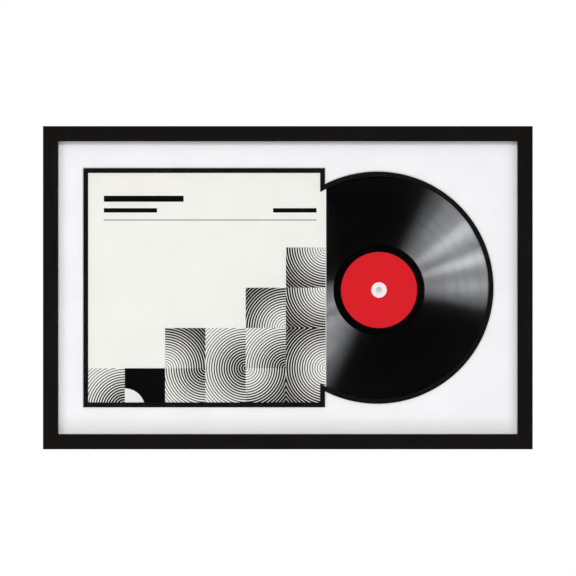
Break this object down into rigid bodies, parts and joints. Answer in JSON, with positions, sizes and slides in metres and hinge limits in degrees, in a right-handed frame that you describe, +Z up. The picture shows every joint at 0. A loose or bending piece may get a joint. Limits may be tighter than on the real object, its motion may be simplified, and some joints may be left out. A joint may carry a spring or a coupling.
{
  "type": "vinyl record frame",
  "caption": "Black wall frame with a white double-window mat that shows a long-playing record pulled part way out of its sleeve, with turn buttons, hangers and bumpers behind.",
  "frame": {"origin": "middle of the wall plane, which the backs of the rubber bumpers touch, level with the middle of the frame's width and height", "axes": "+X to the viewer's right along the frame's width, +Z up along its height, and +Y into the wall; the picture side faces -Y"},
  "size_m": [0.635, 0.0212, 0.419],
  "materials": {
    "moulding": "satin black wrap over wood fibre",
    "corner_nails": "plain steel",
    "glazing": "clear",
    "white_mat_board": "smooth white board with white core",
    "black_mat_board": "smooth black board, black through",
    "printed_card": "printed and varnished card",
    "pressed_vinyl": "glossy black, grooved",
    "label_paper": "printed paper",
    "carrier_board": "white board",
    "backing_paper": "plain white",
    "fibreboard": "bare brown hardboard",
    "screw_steel": "zinc plated",
    "button_steel": "zinc plated",
    "hanger_steel": "zinc plated",
    "nail_brass": "brass plated",
    "bumper_rubber": "soft black rubber"
  },
  "bodies": {
    "frame": {"rail_top": "moulding", "rail_bottom": "moulding", "stile_left": "moulding", "stile_right": "moulding", "v_nails": "corner_nails", "glass_pane": "glazing", "white_mat": "white_mat_board", "black_mat": "black_mat_board", "album_sleeve": "printed_card", "vinyl_record": "pressed_vinyl", "record_label_front": "label_paper", "record_label_back": "label_paper", "carrier_board": "carrier_board", "backing_sheet": "backing_paper", "backing_board": "fibreboard", "turn_button_screws": "screw_steel", "sawtooth_hanger_left": "hanger_steel", "sawtooth_hanger_right": "hanger_steel", "hanger_nails": "nail_brass", "bumpers": "bumper_rubber"},
    "turn_button_1": {"turn_button_1": "button_steel"},
    "turn_button_2": {"turn_button_2": "button_steel"},
    "turn_button_3": {"turn_button_3": "button_steel"},
    "turn_button_4": {"turn_button_4": "button_steel"},
    "turn_button_5": {"turn_button_5": "button_steel"},
    "turn_button_6": {"turn_button_6": "button_steel"},
    "turn_button_7": {"turn_button_7": "button_steel"},
    "turn_button_8": {"turn_button_8": "button_steel"},
    "turn_button_9": {"turn_button_9": "button_steel"},
    "turn_button_10": {"turn_button_10": "button_steel"}
  },
  "joints": [
    {"name": "turn_button_1_pivot", "type": "hinge", "parent": "frame", "child": "turn_button_1", "pos_m": [-0.20955, -0.0032, 0.20275], "axis": [0, 1, 0], "continuous": true},
    {"name": "turn_button_2_pivot", "type": "hinge", "parent": "frame", "child": "turn_button_2", "pos_m": [0, -0.0032, 0.20275], "axis": [0, 1, 0], "continuous": true},
    {"name": "turn_button_3_pivot", "type": "hinge", "parent": "frame", "child": "turn_button_3", "pos_m": [0.20955, -0.0032, 0.20275], "axis": [0, 1, 0], "continuous": true},
    {"name": "turn_button_4_pivot", "type": "hinge", "parent": "frame", "child": "turn_button_4", "pos_m": [-0.20955, -0.0032, -0.20275], "axis": [0, 1, 0], "continuous": true},
    {"name": "turn_button_5_pivot", "type": "hinge", "parent": "frame", "child": "turn_button_5", "pos_m": [0, -0.0032, -0.20275], "axis": [0, 1, 0], "continuous": true},
    {"name": "turn_button_6_pivot", "type": "hinge", "parent": "frame", "child": "turn_button_6", "pos_m": [0.20955, -0.0032, -0.20275], "axis": [0, 1, 0], "continuous": true},
    {"name": "turn_button_7_pivot", "type": "hinge", "parent": "frame", "child": "turn_button_7", "pos_m": [-0.3107, -0.0032, -0.08801], "axis": [0, 1, 0], "continuous": true},
    {"name": "turn_button_8_pivot", "type": "hinge", "parent": "frame", "child": "turn_button_8", "pos_m": [-0.3107, -0.0032, 0.08801], "axis": [0, 1, 0], "continuous": true},
    {"name": "turn_button_9_pivot", "type": "hinge", "parent": "frame", "child": "turn_button_9", "pos_m": [0.3107, -0.0032, -0.08801], "axis": [0, 1, 0], "continuous": true},
    {"name": "turn_button_10_pivot", "type": "hinge", "parent": "frame", "child": "turn_button_10", "pos_m": [0.3107, -0.0032, 0.08801], "axis": [0, 1, 0], "continuous": true}
  ]
}
